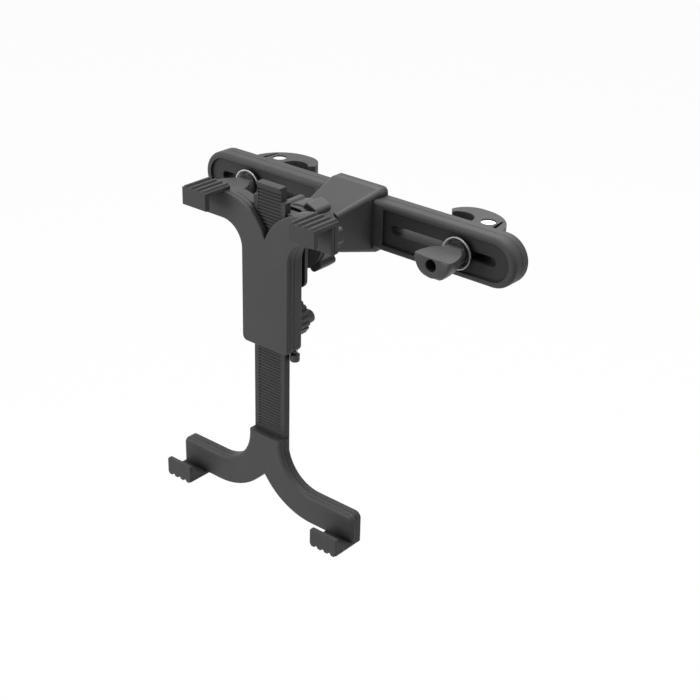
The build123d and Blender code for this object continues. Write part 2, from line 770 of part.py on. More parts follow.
with BuildPart() as pawl:
    with BuildSketch(front(button_depth - pawl_thickness / 2)):
        with BuildLine():
            foot_x = pawl_back_x - pawl_foot
            Polyline(
                (foot_x, pawl_z),
                (pawl_back_x, pawl_z),
                (pawl_back_x, pawl_z + pawl_height),
                (pawl_tip_x, pawl_z + pawl_height),
                (pawl_tip_x, pawl_z + pawl_slope * (foot_x - pawl_tip_x)),
                (foot_x, pawl_z),
            )
        make_face()
    extrude(amount=pawl_thickness)
save(pawl, "pawl")

spring_bottom_z = button_top_z + spring_wire
spring_length = spring_room_top_z - spring_bottom_z - spring_wire
with BuildPart() as button_spring:
    with BuildLine():
        Helix(spring_pitch, spring_length, spring_radius, center=(button_x, -button_depth, spring_bottom_z))
    with BuildSketch(Plane((button_x + spring_radius, -button_depth, spring_bottom_z), z_dir=(0, 1, 0))):
        Circle(spring_wire)
    sweep(is_frenet=True)
save(button_spring, "button_spring")


def cradle_outline():
    """Inverted Y: the stem spreads into two level arms with a pointed arch between them."""
    with BuildSketch(Plane.XY) as outline:
        with BuildLine():
            Polyline(
                (0, cradle_notch_z),
                (0, cradle_top_z),
                (cradle_half_width, cradle_top_z),
                (cradle_half_width, cradle_arm_top_z),
                (cradle_end_x, cradle_arm_top_z),
                (cradle_end_x, cradle_bottom_z),
                (cradle_notch_end_x, cradle_bottom_z),
            )
            TangentArc((cradle_notch_end_x, cradle_bottom_z), (0, cradle_notch_z), tangent=(-1, 0))
        make_face()
        mirror(about=Plane.YZ)
        arm_tops = [v for v in outline.vertices() if abs(v.Y - cradle_arm_top_z) < shaft_fit]
        arm_tops.sort(key=lambda vertex: vertex.X)
        fillet([arm_tops[0], arm_tops[-1]], cradle_end_round)
        roots = [v for v in outline.vertices() if abs(v.Y - cradle_arm_top_z) < shaft_fit]
        roots = [v for v in roots if abs(v.X) < cradle_half_width + shaft_fit]
        fillet(roots, cradle_fillet)
    return outline.sketch


inverted_y = cradle_outline()
cradle_screw_tip = cradle_front_depth - screw_head
tooth_count = int((tooth_top_z - tooth_bottom_z) / tooth_pitch)

# Rail with its grip teeth, in one piece with the back layer of the cradle
with BuildPart() as slide_rail:
    with BuildSketch(front(rail_back_depth)):
        with Locations((0, (rail_top_z + rail_bottom_z) / 2)):
            Rectangle(2 * rail_half_width, rail_top_z - rail_bottom_z)
        with Locations((0, (rail_top_z + rail_tip_z) / 2)):
            Rectangle(2 * rail_tip_half_width, rail_tip_z - rail_top_z)
    extrude(amount=rail_front_depth - rail_back_depth)
    with BuildSketch(front(rail_front_depth)):
        with Locations((0, rail_tip_z - rail_tip_rim / 2)):
            Rectangle(2 * rail_tip_half_width, rail_tip_rim)
    extrude(amount=rail_rim_height)
    with BuildSketch(Plane.YZ.offset(-tooth_half_width)):
        for index in range(tooth_count):
            with Locations((-rail_front_depth, tooth_top_z - index * tooth_pitch)):
                Polygon((0, -tooth_pitch / 3), (tooth_depth, 0), (0, tooth_pitch / 3), align=None)
    extrude(amount=2 * tooth_half_width, mode=Mode.SUBTRACT)
    with BuildSketch(front(cradle_back_depth)):
        add(inverted_y)
    extrude(amount=cradle_split_depth - cradle_back_depth)
    screw_holes(cradle_screw_spots, cradle_back_depth, cradle_split_depth, screw_head_radius)
    with BuildSketch(front(rail_back_depth)):
        with Locations(cradle_screw_spots[-1]):
            Circle(screw_head_radius)
    extrude(amount=cradle_back_depth + screw_head - rail_back_depth, mode=Mode.SUBTRACT)
save(slide_rail, "slide_rail")

with BuildPart() as lower_cradle:
    with BuildSketch(front(cradle_split_depth)):
        add(inverted_y)
    extrude(amount=cradle_front_depth - cradle_split_depth)
    face_edges = lower_cradle.faces().sort_by(Axis.Y)[0].edges()
    lowest_soft_z = cradle_arm_top_z - cradle_end_round
    soft_edges = face_edges.filter_by_position(Axis.Z, lowest_soft_z, cradle_top_z - shaft_fit)
    fillet(soft_edges, cradle_front_round)
    fillet(lower_cradle.faces().sort_by(Axis.Y)[-1].edges(), seam_round)
    screw_holes(cradle_screw_spots, cradle_split_depth, cradle_screw_tip)
save(lower_cradle, "lower_cradle")

with BuildPart() as cradle_screws:
    screw_row(cradle_screw_spots, cradle_back_depth, cradle_screw_tip, screw_head_radius)
save(cradle_screws, "cradle_screws")

# Hooks under the arms: a ribbed floor and a thin lip
for side, sign in SIDES:
    with BuildPart() as cradle_hook:
        middle_x = sign * (hook_inner_x + cradle_end_x) / 2
        width = cradle_end_x - hook_inner_x
        with BuildSketch(front(cradle_back_depth)):
            with Locations((middle_x, (hook_floor_z + cradle_bottom_z) / 2)):
                Rectangle(width, cradle_bottom_z - hook_floor_z)
        extrude(amount=hook_front_depth - cradle_back_depth)
        with BuildSketch(front(hook_front_depth - hook_lip)):
            with Locations((middle_x, (hook_floor_z + hook_lip_top_z) / 2)):
                Rectangle(width, hook_lip_top_z - hook_floor_z)
        extrude(amount=hook_lip)
        lip_sides = cradle_hook.edges().filter_by(Axis.Y).group_by(Axis.Z)[-1]
        fillet(lip_sides, hook_lip_corner)
        fillet(cradle_hook.faces().sort_by(Axis.Y)[0].edges(), hook_lip / 5)
        rib_pitch = width / hook_ribs
        with BuildSketch(front(cradle_back_depth)):
            for index in range(hook_ribs):
                with Locations((middle_x + (index - (hook_ribs - 1) / 2) * rib_pitch, hook_floor_z)):
                    Trapezoid(
                        rib_pitch * 0.84, 2 * hook_rib_height, 62, rotation=180,
                        align=(Align.CENTER, Align.CENTER),
                    )
        extrude(amount=hook_front_depth - cradle_back_depth)
    save(cradle_hook, f"cradle_hook_{side}")

# Post clamps, one at each end of the bar
for side, sign in SIDES:
    axis_x = sign * clamp_x

    # Bush that keeps the clamp square in the slot
    with BuildPart() as guide_bush:
        with BuildSketch(front(rest_gap)):
            with Locations((axis_x, 0)):
                Rectangle(bush_length, slot_height - 2 * slide_fit)
                Circle(bolt_radius + shaft_fit, mode=Mode.SUBTRACT)
        extrude(amount=cup_seat_depth - rest_gap)
    save(guide_bush, f"guide_bush_{side}")

    # Dished steel cup between the knob and the bar, wider towards the front
    with BuildPart() as flange_washer:
        with BuildSketch(Plane.XY):
            with BuildLine():
                bore = axis_x + bolt_radius + shaft_fit
                Polyline(
                    (bore, -cup_seat_depth),
                    (axis_x + cup_seat_radius, -cup_seat_depth),
                    (axis_x + cup_rim_radius, -(cup_rim_depth - cup_rim)),
                    (axis_x + cup_rim_radius, -cup_rim_depth),
                    (axis_x + cup_rim_radius - cup_rim, -cup_rim_depth),
                    (axis_x + cup_floor_radius, -cup_floor_depth),
                    (bore, -cup_floor_depth),
                    (bore, -cup_seat_depth),
                )
            make_face()
        revolve(axis=Axis((axis_x, 0, 0), (0, 1, 0)))
    save(flange_washer, f"flange_washer_{side}")

    # Thumb knob: a waisted body that swells into two wings, with a flat leaf-shaped top
    with BuildPart() as thumb_knob:
        with BuildSketch(front(knob_waist_depth)):
            with Locations((axis_x, 0)):
                Circle(knob_waist_radius)
        with BuildSketch(front(knob_wing_depth)):
            with Locations((axis_x, 0)):
                Ellipse(knob_wing_half_width, knob_belly_radius)
        with BuildSketch(front(knob_end_depth)):
            with Locations((axis_x, 0)):
                Circle(knob_nose_radius)
        loft()
        with BuildSketch(front(knob_waist_depth)):
            with Locations((axis_x, knob_flat_z + knob_belly_radius)):
                Rectangle(4 * knob_belly_radius, 2 * knob_belly_radius)
        extrude(amount=knob_end_depth, mode=Mode.SUBTRACT)
        flat_top = thumb_knob.faces().filter_by(Axis.Z).sort_by(Axis.Z)[-1]
        chamfer(flat_top.edges(), knob_bevel)
        with BuildSketch(front(knob_start_depth)):
            with Locations((axis_x, 0)):
                Circle(knob_root_radius)
        extrude(amount=knob_waist_depth - knob_start_depth)
        with BuildSketch(front(knob_start_depth)):
            with Locations((axis_x, 0)):
                Circle(bolt_radius)
        extrude(amount=knob_end_depth - knob_start_depth, mode=Mode.SUBTRACT)
        with BuildSketch(front(bolt_head_depth - bolt_head)):
            with Locations((axis_x, 0)):
                Circle(bolt_head_radius)
        extrude(amount=knob_end_depth - bolt_head_depth + bolt_head, mode=Mode.SUBTRACT)
    save(thumb_knob, f"thumb_knob_{side}")

    with BuildPart() as clamp_bolt:
        with BuildSketch(front(bolt_head_depth - bolt_head)):
            with Locations((axis_x, 0)):
                Circle(bolt_head_radius)
        extrude(amount=bolt_head)
        with BuildSketch(front(-bolt_tip_y)):
            with Locations((axis_x, 0)):
                Circle(bolt_radius)
        extrude(amount=bolt_tip_y + bolt_head_depth - bolt_head)
    save(clamp_bolt, f"clamp_bolt_{side}")

    # Cross pin with the thread for the bolt; its polished ends show in the claw
    with BuildPart() as barrel_nut:
        with BuildSketch(Plane.XY.offset(-claw_height / 2 + pin_recess)):
            with Locations((axis_x, pin_y)):
                Circle(pin_radius - shaft_fit)
        extrude(amount=claw_height - 2 * pin_recess)
        with BuildSketch(front(-bolt_slot_end_y)):
            with Locations((axis_x, 0)):
                Circle(bolt_radius + shaft_fit)
        extrude(amount=bolt_slot_end_y, mode=Mode.SUBTRACT)
    save(barrel_nut, f"barrel_nut_{side}")

    # Claw that hooks round the headrest post
    with BuildPart() as post_claw:
        with BuildSketch(Plane.XY.offset(-claw_height / 2)):
            mouth_x = clamp_x + mouth_offset_x
            tip_angle = math.radians(mouth_end_angle)
            half_angle = tip_angle / 2
            mouth_end = (
                mouth_x + mouth_radius * math.cos(tip_angle),
                mouth_y + mouth_radius * math.sin(tip_angle),
            )
            mouth_top = (
                mouth_x + mouth_radius * math.cos(half_angle),
                mouth_y + mouth_radius * math.sin(half_angle),
            )

            def claw_point(offset):
                return (sign * (clamp_x + offset[0]), offset[1])

            def mouth_point(point):
                return (sign * point[0], point[1])

            with BuildLine():
                ThreePointArc(*[claw_point(p) for p in (claw_tip, claw_tip_bulge, claw_crown)])
                ThreePointArc(*[claw_point(p) for p in (claw_crown, claw_back_bulge, claw_shoulder)])
                Polyline(
                    claw_point(claw_shoulder),
                    claw_point((claw_toe_x, claw_foot_gap)),
                    claw_point((claw_heel_x, claw_foot_gap)),
                    claw_point((claw_heel_x, claw_heel_lift)),
                    mouth_point((mouth_x + mouth_radius, claw_heel_lift)),
                    mouth_point((mouth_x + mouth_radius, mouth_y)),
                )
                ThreePointArc(
                    mouth_point((mouth_x + mouth_radius, mouth_y)),
                    mouth_point(mouth_top),
                    mouth_point(mouth_end),
                )
                Line(mouth_point(mouth_end), claw_point(claw_tip))
            make_face()
        extrude(amount=claw_height)
        with BuildSketch(Plane.XY.offset(-claw_height / 2)):
            with Locations((axis_x, pin_y)):
                Circle(pin_radius)
        extrude(amount=claw_height, mode=Mode.SUBTRACT)
        with BuildSketch(front(-bolt_slot_end_y)):
            with Locations((axis_x, 0)):
                Rectangle(bolt_slot_width, bolt_slot_height)
        extrude(amount=bolt_slot_end_y, mode=Mode.SUBTRACT)
        with BuildSketch(Plane.XY.offset(-claw_height / 2)):
            with BuildLine():
                Polyline(*[claw_point(p) for p in claw_slit], close=True)
            make_face()
        extrude(amount=claw_height, mode=Mode.SUBTRACT)
    save(post_claw, f"post_claw_{side}")
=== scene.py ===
"""Studio scene of a headrest tablet mount.

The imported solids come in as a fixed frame, in metres, +X along the slotted bar, +Y to the rear and
+Z up. Every piece made here sits on that frame and rides on one of its bodies.
"""

import logging
import math
from dataclasses import dataclass
from enum import Enum
from typing import Sequence

import bmesh
import bpy
from mathutils import Matrix, Vector


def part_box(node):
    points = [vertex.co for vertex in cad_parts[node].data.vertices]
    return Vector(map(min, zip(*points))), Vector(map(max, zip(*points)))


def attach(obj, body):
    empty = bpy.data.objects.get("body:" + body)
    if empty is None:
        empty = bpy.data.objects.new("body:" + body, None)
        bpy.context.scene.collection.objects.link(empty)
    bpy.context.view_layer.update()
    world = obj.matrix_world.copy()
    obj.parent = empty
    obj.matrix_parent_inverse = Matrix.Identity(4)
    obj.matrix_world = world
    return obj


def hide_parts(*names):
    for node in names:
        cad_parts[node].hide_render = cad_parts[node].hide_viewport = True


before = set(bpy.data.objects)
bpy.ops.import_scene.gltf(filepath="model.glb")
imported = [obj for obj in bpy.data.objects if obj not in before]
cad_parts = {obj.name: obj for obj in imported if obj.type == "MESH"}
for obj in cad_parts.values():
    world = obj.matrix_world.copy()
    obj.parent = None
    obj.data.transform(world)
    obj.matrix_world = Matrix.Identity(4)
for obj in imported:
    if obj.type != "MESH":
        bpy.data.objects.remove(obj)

LOG = logging.getLogger("headrest_mount")
Vec3 = tuple[float, float, float]
Colour = tuple[float, float, float]

MM = 0.001

# The bar's front recess and the clamps' places, in millimetres
CLAMP_X = 81.5
BAR_END_CENTRE = 104.9
RECESS_RADIUS = 11.4
RECESS_RIM_Y = -13.6

# Noise of the finishes: cells in each metre, or as a share of the grain's
NOISE_FALLOFF = 0.55
CLOUD_CELLS = 42.0
SMUDGE_CELLS = 160.0
SPECKS_TO_GRAIN = 0.45

# Fine relief of the finishes, its heights and reach in metres
GRAIN_HEIGHT = 0.2 * MM
RING_HEIGHT = 0.1 * MM
RING_STRENGTH = 0.12
RING_WANDER = 1.5
METAL_EDGE = 0.2 * MM

# How far colour and roughness wander from a finish's own values, the painted edge highlight among them
DARK_PATCH, LIGHT_PATCH = 0.88, 1.1
SPECK_SHARE = 0.5
LEAST_EDGE_HIGHLIGHT = 0.55
EDGE_POLISH = 0.1
SMOOTHER = 0.05
ROUGHER_PLASTIC, ROUGHER_METAL = 0.06, 0.08
SHEEN_SPREAD = 0.4

# Samples of occlusion and edge nodes, and the readings between which painted groove shade, painted edge
# light, edge polish and painted recess shade blend
EDGE_SAMPLES = 4
DEEP_GROOVE, OPEN_FACE = 0.25, 0.95
SHARP_EDGE, FLAT_FACE = 0.72, 0.985
HOLLOW_EDGE = 0.3 * MM
HOLLOW_STEP = 0.8 * MM

# Mesh work: angles, tolerances in metres, and a screw's reach in radii of its head
SMOOTH_ANGLE = math.radians(32.0)
RIM_ANGLE = math.radians(38.0)
ON_AXIS = 1e-7
ON_PLANE = 1e-5
SAME_SCREW = 2.3


class Side(Enum):
    """The two ends of the bar, by the sign of X."""

    RIGHT = 1
    LEFT = -1

    @property
    def word(self) -> str:
        """The side's name as the nodes and bodies spell it."""
        return self.name.lower()


class Slot(Enum):
    """Names of two material slots of the record, which nothing here uses."""

    KNOB = "knob_plastic"
    DARK_STEEL = "dark_steel"


# Finishes


class NodeGraph:
    """A material's node tree with short calls to add and join nodes."""

    def __init__(self, name: str) -> None:
        """Start an empty material.

        Args:
            name: The material's name.
        """
        self.material = bpy.data.materials.new(name)
        self.material.use_nodes = True
        self.tree = self.material.node_tree
        self.tree.nodes.clear()
        self.output = self.add("ShaderNodeOutputMaterial")

    def add(self, kind: str, **values: object) -> bpy.types.Node:
        """Add a node and set what is named.

        Args:
            kind: The node's type.
            **values: Properties of the node, or sockets by their name with spaces as underscores.

        Returns:
            The new node.
        """
        node = self.tree.nodes.new(kind)
        for key, value in values.items():
            if hasattr(node, key):
                setattr(node, key, value)
            else:
                node.inputs[key.replace("_", " ")].default_value = value
        return node

    def join(self, source: bpy.types.NodeSocket, target: bpy.types.NodeSocket) -> None:
        """Link one socket to another."""
        self.tree.links.new(source, target)

    def noise(
        self, coordinates: bpy.types.NodeSocket, scale: float, detail: float = 2.0
    ) -> bpy.types.NodeSocket:
        """Add a noise pattern.

        Args:
            coordinates: The vector that it reads.
            scale: Cells in each metre.
            detail: Octaves of finer noise.

        Returns:
            The pattern's value.
        """
        node = self.add("ShaderNodeTexNoise", Scale=scale, Detail=detail, Roughness=NOISE_FALLOFF)
        self.join(coordinates, node.inputs["Vector"])
        return node.outputs["Fac"]

    def remap(
        self, value: bpy.types.NodeSocket, low: float, high: float, start: float = 0.3, end: float = 0.7
    ) -> bpy.types.NodeSocket:
        """Map a pattern's values from start-end to low-high.

        Args:
            value: The socket to map.
            low: Result at the start.
            high: Result at the end.
            start: Pattern value that gives low.
            end: Pattern value that gives high.

        Returns:
            The mapped value.
        """
        node = self.add("ShaderNodeMapRange", From_Min=start, From_Max=end, To_Min=low, To_Max=high)
        self.join(value, node.inputs["Value"])
        return node.outputs["Result"]

    def blend(self, share: bpy.types.NodeSocket, first: Colour, second: Colour) -> bpy.types.NodeSocket:
        """Mix two colours.

        Args:
            share: How much of the second colour shows.
            first: Linear colour at 0.
            second: Linear colour at 1.

        Returns:
            The mixed colour.
        """
        node = self.add("ShaderNodeMix", data_type="RGBA")
        self.join(share, next(s for s in node.inputs if s.type == "VALUE"))
        ends = [s for s in node.inputs if s.type == "RGBA"]
        for socket, colour in zip(ends, (first, second)):
            socket.default_value = (*colour, 1.0)
        return next(s for s in node.outputs if s.type == "RGBA")

    def crevices(self, reach: float, darkest: float) -> bpy.types.NodeSocket:
        """Darken the colour in grooves and inner corners by ambient occlusion, as painted shade.

        Args:
            reach: How far the walls around a point count, in metres.
            darkest: Result deep inside a groove.

        Returns:
            1 on an open face, down to the darkest value in a groove.
        """
        node = self.add("ShaderNodeAmbientOcclusion", samples=EDGE_SAMPLES, Distance=reach)
        return self.remap(node.outputs["AO"], darkest, 1.0, DEEP_GROOVE, OPEN_FACE)

    def shade(self, colour: bpy.types.NodeSocket, factor: bpy.types.NodeSocket) -> bpy.types.NodeSocket:
        """Multiply a colour by a value.

        Args:
            colour: The colour.
            factor: The value.

        Returns:
            The darker colour.
        """
        node = self.add("ShaderNodeVectorMath", operation="SCALE")
        self.join(colour, node.inputs[0])
        self.join(factor, node.inputs["Scale"])
        return node.outputs["Vector"]

    def inside_slot(
        self, place: bpy.types.NodeSocket, half: float, radius: float, depth: float
    ) -> bpy.types.NodeSocket:
        """Find what lies in a round-ended hollow along X in a face towards -Y.

        Args:
            place: Object coordinates.
            half: Half the distance between the centres of its round ends, in metres.
            radius: Radius of the ends.
            depth: Y of the face that the hollow is sunk into.

        Returns:
            1 in the hollow and 0 elsewhere.
        """
        axes = self.add("ShaderNodeSeparateXYZ")
        self.join(place, axes.inputs["Vector"])
        along = self.add("ShaderNodeMath", operation="ABSOLUTE")
        self.join(axes.outputs["X"], along.inputs[0])
        past = self.add("ShaderNodeMath", operation="SUBTRACT")
        self.join(along.outputs["Value"], past.inputs[0])
        past.inputs[1].default_value = half
        clear = self.add("ShaderNodeMath", operation="MAXIMUM")
        self.join(past.outputs["Value"], clear.inputs[0])
        clear.inputs[1].default_value = 0.0
        flat = self.add("ShaderNodeCombineXYZ")
        self.join(clear.outputs["Value"], flat.inputs["X"])
        self.join(axes.outputs["Z"], flat.inputs["Z"])
        away = self.add("ShaderNodeVectorMath", operation="LENGTH")
        self.join(flat.outputs["Vector"], away.inputs[0])
        within = self.remap(away.outputs["Value"], 1.0, 0.0, radius, radius + HOLLOW_EDGE)
        sunk = self.remap(axes.outputs["Y"], 0.0, 1.0, depth, depth + HOLLOW_STEP)
        both = self.add("ShaderNodeMath", operation="MULTIPLY")
        self.join(within, both.inputs[0])
        self.join(sunk, both.inputs[1])
        return both.outputs["Value"]

    def soft_edges(self, radius: float) -> tuple[bpy.types.NodeSocket, bpy.types.NodeSocket]:
        """Round the shading over sharp edges and find where they are.

        Args:
            radius: Reach of the rounding, in metres.

        Returns:
            The rounded normal, and a mask that is 1 on an edge and 0 on a flat face.
        """
        rounded = self.add("ShaderNodeBevel", samples=EDGE_SAMPLES, Radius=radius).outputs["Normal"]
        plain = self.add("ShaderNodeNewGeometry").outputs["Normal"]
        dot = self.add("ShaderNodeVectorMath", operation="DOT_PRODUCT")
        self.join(rounded, dot.inputs[0])
        self.join(plain, dot.inputs[1])
        return rounded, self.remap(dot.outputs["Value"], 1.0, 0.0, SHARP_EDGE, FLAT_FACE)


@dataclass(frozen=True)
class Plastic:
    """Moulded plastic or rubber with a fine spark-eroded grain, painted highlights on its edges and painted
    shade in its grooves.

    Attributes:
        name: The material's name.
        colour: Linear base colour.
        roughness: Middle roughness.
        grain: Size of the grain, in metres.
        depth: Strength of the grain.
        edge: Reach of the rounding over the edges, in metres.
        rub: How much lighter the edges are, a painted highlight.
        gloss: Specular level, 0.5 for an index of 1.5.
        sheen: Soft edge light on rubber.
        groove: Colour left deep in a groove, as a share; a painted shade.
        groove_reach: How far the walls around a point count, in metres.
        hollow: Half length, radius and Y, in metres, of a hollow that is painted darker as shade, or None.
        dull: Colour left in the hollow, as a share; a painted shade.
    """

    name: str
    colour: Colour
    roughness: float = 0.5
    grain: float = 0.0005
    depth: float = 0.14
    edge: float = 0.0005
    rub: float = 1.35
    gloss: float = 0.18
    sheen: float = 0.0
    groove: float = 0.2
    groove_reach: float = 5.0 * MM
    hollow: Vec3 | None = None
    dull: float = 0.6

    def material(self) -> bpy.types.Material:
        """Build the node tree.

        Returns:
            The finished material.
        """
        graph = NodeGraph(self.name)
        shader = graph.add("ShaderNodeBsdfPrincipled", Metallic=0.0)
        shader.inputs["Specular IOR Level"].default_value = self.gloss
        shader.inputs["Sheen Weight"].default_value = self.sheen
        shader.inputs["Sheen Roughness"].default_value = SHEEN_SPREAD
        graph.join(shader.outputs["BSDF"], graph.output.inputs["Surface"])
        place = graph.add("ShaderNodeTexCoord").outputs["Object"]
        cloud = graph.noise(place, CLOUD_CELLS, 3.0)
        speck = graph.noise(place, SPECKS_TO_GRAIN / self.grain, 2.0)
        fine = graph.noise(place, 1.0 / self.grain, 3.0)
        normal, edge = graph.soft_edges(self.edge)
        mottle = graph.add("ShaderNodeMath", operation="MULTIPLY_ADD")
        graph.join(speck, mottle.inputs[0])
        mottle.inputs[1].default_value = SPECK_SHARE
        graph.join(graph.remap(cloud, 0.0, 1.0 - SPECK_SHARE), mottle.inputs[2])
        # Painted highlight: the edges are lightened, more where the cloud pattern is high.
        worn = graph.add("ShaderNodeMath", operation="MULTIPLY", use_clamp=True)
        graph.join(edge, worn.inputs[0])
        graph.join(graph.remap(cloud, LEAST_EDGE_HIGHLIGHT, 1.0), worn.inputs[1])
        body = graph.blend(mottle.outputs["Value"], self._shade(DARK_PATCH), self._shade(LIGHT_PATCH))
        highlighted = graph.add("ShaderNodeMix", data_type="RGBA")
        graph.join(worn.outputs["Value"], next(s for s in highlighted.inputs if s.type == "VALUE"))
        near, far = [s for s in highlighted.inputs if s.type == "RGBA"]
        graph.join(body, near)
        far.default_value = (*self._shade(self.rub), 1.0)
        highlighted_colour = next(s for s in highlighted.outputs if s.type == "RGBA")
        # Painted shade: ambient occlusion darkens the colour in grooves and inner corners.
        colour = graph.shade(highlighted_colour, graph.crevices(self.groove_reach, self.groove))
        # Painted shade: the colour is darker inside the bar's front recess.
        if self.hollow:
            share = graph.remap(graph.inside_slot(place, *self.hollow), 1.0, self.dull, 0.0, 1.0)
            colour = graph.shade(colour, share)
        graph.join(colour, shader.inputs["Base Color"])
        smooth = graph.add("ShaderNodeMath", operation="MULTIPLY_ADD")
        graph.join(worn.outputs["Value"], smooth.inputs[0])
        smooth.inputs[1].default_value = -EDGE_POLISH
        rough = graph.remap(fine, self.roughness - SMOOTHER, self.roughness + ROUGHER_PLASTIC)
        graph.join(rough, smooth.inputs[2])
        graph.join(smooth.outputs["Value"], shader.inputs["Roughness"])
        bump = graph.add("ShaderNodeBump", Strength=self.depth, Distance=GRAIN_HEIGHT)
        graph.join(fine, bump.inputs["Height"])
        graph.join(normal, bump.inputs["Normal"])
        graph.join(bump.outputs["Normal"], shader.inputs["Normal"])
        return graph.material

    def _shade(self, factor: float) -> Colour:
        """The base colour, lighter or darker."""
        return tuple(min(1.0, channel * factor) for channel in self.colour)


@dataclass(frozen=True)
class Metal:
    """Turned or plated metal with fine rings about an axis along Y, and painted light on its edges.

    Attributes:
        name: The material's name.
        colour: Linear base colour.
        roughness: Middle roughness.
        centre: A point on the axis of the turning marks, in metres.
        rings: Turning marks in each metre of radius, or 0 for none.
        worn: Colour of the edges, as a share; a painted highlight above 1, painted shade below 1.
    """

    name: str
    colour: Colour
    roughness: float = 0.2
    centre: Vec3 = (0.0, 0.0, 0.0)
    rings: float = 0.0
    worn: float = 1.15

    def material(self) -> bpy.types.Material:
        """Build the node tree.

        Returns:
            The finished material.
        """
        graph = NodeGraph(self.name)
        shader = graph.add("ShaderNodeBsdfPrincipled", Metallic=1.0)
        graph.join(shader.outputs["BSDF"], graph.output.inputs["Surface"])
        place = graph.add("ShaderNodeTexCoord").outputs["Object"]
        mapping = graph.add("ShaderNodeMapping")
        mapping.inputs["Location"].default_value = [-c for c in self.centre]
        graph.join(place, mapping.inputs["Vector"])
        smudge = graph.noise(mapping.outputs["Vector"], SMUDGE_CELLS, 4.0)
        rough = graph.remap(smudge, self.roughness - SMOOTHER, self.roughness + ROUGHER_METAL)
        graph.join(rough, shader.inputs["Roughness"])
        normal, edge = graph.soft_edges(METAL_EDGE)
        if self.rings:
            wave = graph.add("ShaderNodeTexWave", wave_type="RINGS", rings_direction="Y", Scale=self.rings)
            wave.inputs["Distortion"].default_value = RING_WANDER
            graph.join(mapping.outputs["Vector"], wave.inputs["Vector"])
            bump = graph.add("ShaderNodeBump", Strength=RING_STRENGTH, Distance=RING_HEIGHT)
            graph.join(wave.outputs["Fac"], bump.inputs["Height"])
            graph.join(normal, bump.inputs["Normal"])
            normal = bump.outputs["Normal"]
        graph.join(normal, shader.inputs["Normal"])
        # Painted edge light: edges lighter as a painted highlight, or darker as painted shade where the
        # share is below 1.
        painted_edge_tone = tuple(min(1.0, channel * self.worn) for channel in self.colour)
        graph.join(graph.blend(edge, self.colour, painted_edge_tone), shader.inputs["Base Color"])
        return graph.material


class Palette:
    """Every finish of the mount, built once and handed out by name."""

    def __init__(self) -> None:
        """Build all the finishes."""
        hollow = (BAR_END_CENTRE * MM, RECESS_RADIUS * MM, RECESS_RIM_Y * MM)
        self.shell = Plastic("shell_grain", (0.052, 0.052, 0.053), depth=0.16).material()
        # The bar's front recess gets painted shade through the hollow.
        self.bar = Plastic("bar_grain", (0.05, 0.05, 0.051), depth=0.16, hollow=hollow).material()
        self.knob = Plastic(
            "knob_satin", (0.062, 0.062, 0.063), roughness=0.42, grain=0.0004, depth=0.12, gloss=0.22
        ).material()
        self.arm = Plastic("arm_satin", (0.049, 0.049, 0.05), roughness=0.44, gloss=0.28).material()
        # The rail's teeth get a deeper painted shade in their grooves.
        self.rail = Plastic(
            "rail_grain", (0.041, 0.041, 0.042), groove=0.1, groove_reach=3.0 * MM
        ).material()
        self.rubber = Plastic(
            "grip_rubber", (0.045, 0.045, 0.046), roughness=0.58, grain=0.0003, depth=0.2, sheen=0.1
        ).material()
        self.bearing = Plastic(
            "bearing_acetal", (0.72, 0.7, 0.64), roughness=0.35, grain=0.0006, depth=0.03
        ).material()
        self.dark_steel = Metal("dark_steel", (0.16, 0.16, 0.17), roughness=0.34).material()
        self.brass = Metal("brass", (0.78, 0.6, 0.3), roughness=0.28).material()
        self.polished = {side: self._turned(side) for side in Side}
        self.pin = Metal("pin_steel", (0.95, 0.95, 0.96), roughness=0.12).material()

    @staticmethod
    def _turned(side: Side) -> bpy.types.Material:
        """The cup washer's finish, with its turning marks about that clamp's bolt and painted shade on its
        edges.
        """
        centre = (side.value * CLAMP_X * MM, 0.0, 0.0)
        name, grey = f"polished_steel_{side.word}", (0.42, 0.42, 0.43)
        return Metal(name, grey, roughness=0.42, centre=centre, rings=900.0, worn=0.55).material()

    @staticmethod
    def dress(material: bpy.types.Material, *nodes: str) -> None:
        """Give frame nodes a finish through their material slots.

        Args:
            material: The finish.
            *nodes: Names of the nodes.
        """
        for name in nodes:
            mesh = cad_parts[name].data
            if not mesh.materials:
                mesh.materials.append(material)
            for index in range(len(mesh.materials)):
                mesh.materials[index] = material


# Stage


def shown_rays(tree: bpy.types.NodeTree) -> bpy.types.NodeSocket:
    """Add nodes that tell the rays which show the backdrop from those that only carry its light.

    Args:
        tree: The node tree that gets them.

    Returns:
        A socket that is 1 for camera, glossy and transmission rays, and 0 for the others.
    """
    rays = tree.nodes.new("ShaderNodeLightPath")
    total = rays.outputs["Is Camera Ray"]
    for name in ("Is Glossy Ray", "Is Transmission Ray"):
        add = tree.nodes.new("ShaderNodeMath")
        add.operation = "MAXIMUM"
        tree.links.new(total, add.inputs[0])
        tree.links.new(rays.outputs[name], add.inputs[1])
        total = add.outputs["Value"]
    return total


@dataclass(frozen=True)
class SoftBox:
    """One square soft box that faces the mount.

    Attributes:
        name: The lamp's name.
        place: Its centre, in metres.
        size: Edge length, in metres.
        power: Its power, in watts.
        aim: The point it faces.
    """

    name: str
    place: Vec3
    size: float
    power: float
    aim: Vec3 = (0.0, 0.0, -0.05)

    def hang(self) -> None:
        """Make the lamp and turn it to its aim."""
        data = bpy.data.lights.new(self.name, "AREA")
        data.shape = "SQUARE"
        data.size = self.size
        data.energy = self.power
        lamp = bpy.data.objects.new(self.name, data)
        lamp.location = self.place
        lamp.rotation_euler = (Vector(self.aim) - Vector(self.place)).to_track_quat("-Z", "Y").to_euler()
        bpy.context.scene.collection.objects.link(lamp)


